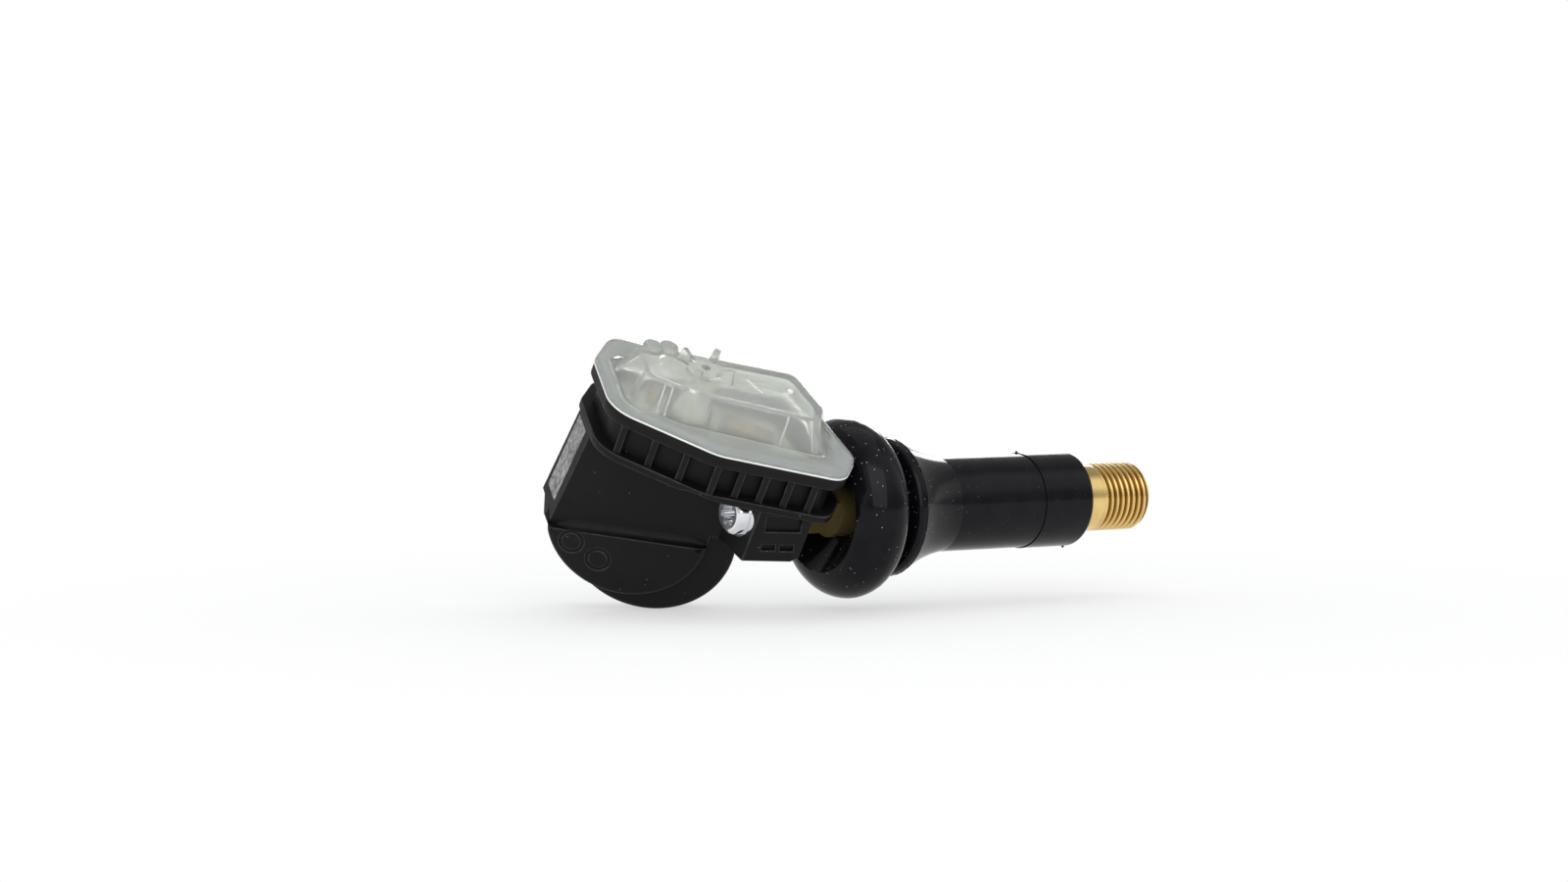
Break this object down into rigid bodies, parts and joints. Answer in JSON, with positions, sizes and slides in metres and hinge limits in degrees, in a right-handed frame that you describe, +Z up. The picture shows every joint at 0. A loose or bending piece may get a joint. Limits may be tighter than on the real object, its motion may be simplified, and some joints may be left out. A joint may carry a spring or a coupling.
{
  "type": "tyre pressure sensor",
  "caption": "Tyre pressure sensor: a black drum-shaped case with a milky welded lid, screwed at an angle to a snap-in rubber tyre valve with a brass stem.",
  "frame": {"origin": "middle of the rim groove, on the stem's axis", "axes": "+X along the stem, out of the wheel; +Z up as the sensor lies in the picture; +Y to its back"},
  "size_m": [0.0699, 0.0337, 0.0302],
  "materials": {
    "black_rubber": "moulded, slightly glossy",
    "brass": "turned",
    "core_brass": "turned, fine",
    "core_steel": "drawn wire",
    "seal_rubber": "matte",
    "seal_ring": "smooth",
    "spring_steel": "drawn wire",
    "zinc_steel": "zinc plated",
    "black_nylon": "satin, moulded",
    "milky_plastic": "milky, see-through",
    "board_green": "solder mask",
    "cell_steel": "nickel plated",
    "nickel_strip": "bright",
    "chip_black": "moulded",
    "silicone": "soft, matte",
    "ferrite": "matte",
    "copper_wire": "enamelled copper",
    "crystal_can": "plated",
    "chip_ceramic": "matte"
  },
  "bodies": {
    "sensor": {"valve_rubber": "black_rubber", "valve_stem": "brass", "core_body": "core_brass", "core_seal": "seal_ring", "core_spring": "spring_steel", "fixing_screw": "zinc_steel", "housing": "black_nylon", "lid": "milky_plastic", "circuit_board": "board_green", "coin_cell": "cell_steel", "battery_tab_positive": "nickel_strip", "battery_tab_negative": "nickel_strip", "sensor_chip": "chip_black", "port_seal": "silicone", "coil_core": "ferrite", "coil_winding": "copper_wire", "crystal": "crystal_can", "capacitors": "chip_ceramic"},
    "core_pin": {"core_pin": "core_steel", "pin_seal": "seal_rubber"}
  },
  "joints": [
    {"name": "core_pin_slide", "type": "slide", "parent": "sensor", "child": "core_pin", "axis": [-1, 0, 0], "range_m": [0, 0.001], "stiffness_N_per_m": 1500, "springref_m": -0.002, "deforming": ["core_spring"]}
  ]
}
